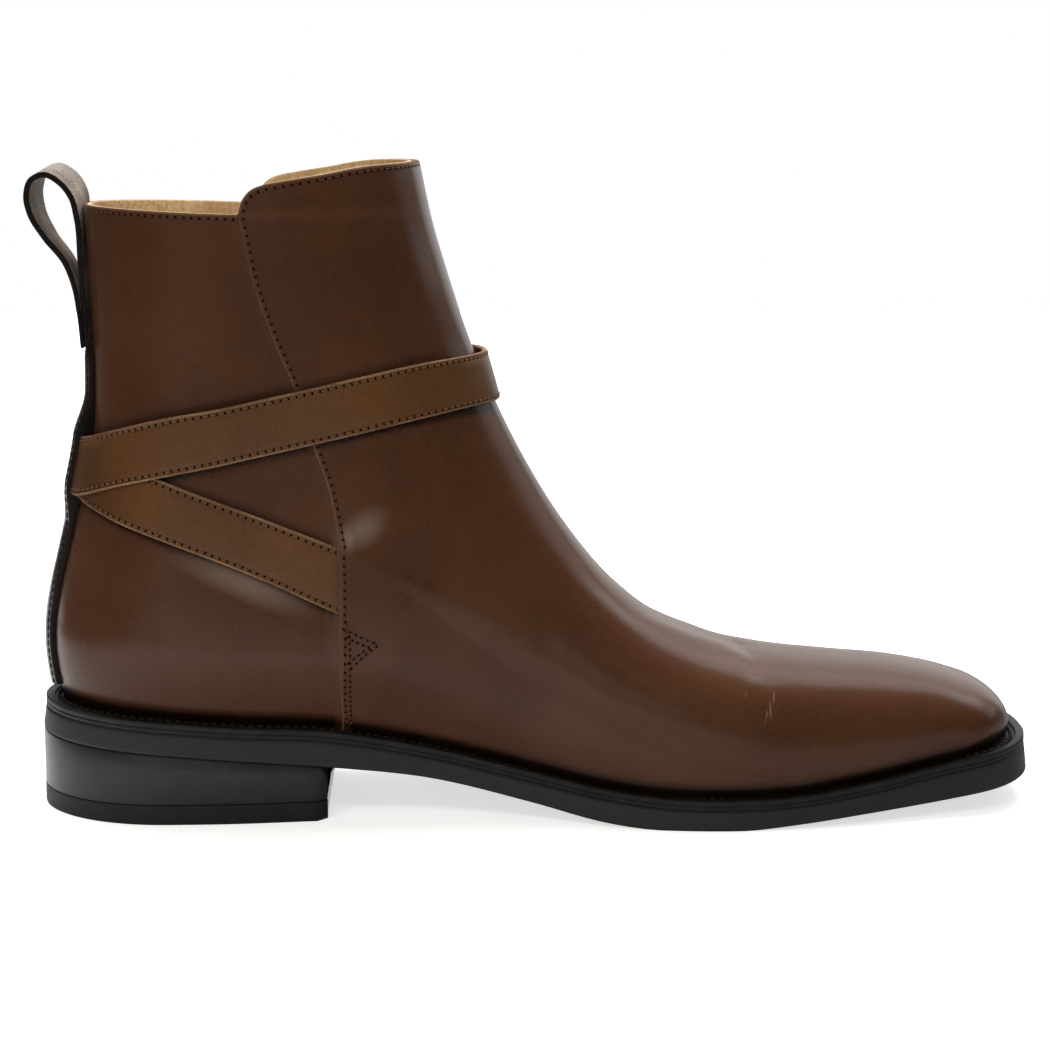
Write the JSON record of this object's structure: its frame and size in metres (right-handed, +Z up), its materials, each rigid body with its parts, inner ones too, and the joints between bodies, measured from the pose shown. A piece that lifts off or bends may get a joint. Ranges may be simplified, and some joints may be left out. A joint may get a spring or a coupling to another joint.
{
  "type": "ankle boot",
  "caption": "Left leather ankle boot with a high front flap, wrap straps round the ankle, a pull loop, a chiselled toe and a welted sole with a stacked heel.",
  "frame": {"origin": "on the floor under the middle of the boot's box", "axes": "+X from heel to toe, +Y from the inner to the outer side of the foot, +Z up"},
  "size_m": [0.3035, 0.1011, 0.1948],
  "materials": {
    "calf_upper": "polished smooth calf, dark reddish brown",
    "calf_strap": "smooth calf, lighter brown, satin",
    "calf_trim": "smooth calf with suede back, dark brown",
    "insole_leather": "plain vegetable-tanned lining leather, matte",
    "welt_leather": "black waxed edge, satin",
    "heel_stack": "stacked leather, black waxed, satin",
    "sole_rubber": "black, matte"
  },
  "bodies": {
    "root": {"outsole": "sole_rubber", "welt": "welt_leather", "insole": "insole_leather", "heel_block": "heel_stack", "top_lift": "sole_rubber", "upper": "calf_upper", "strap_lower": "calf_strap", "strap_upper": "calf_strap", "back_stay": "calf_trim", "pull_loop": "calf_trim"}
  },
  "joints": []
}
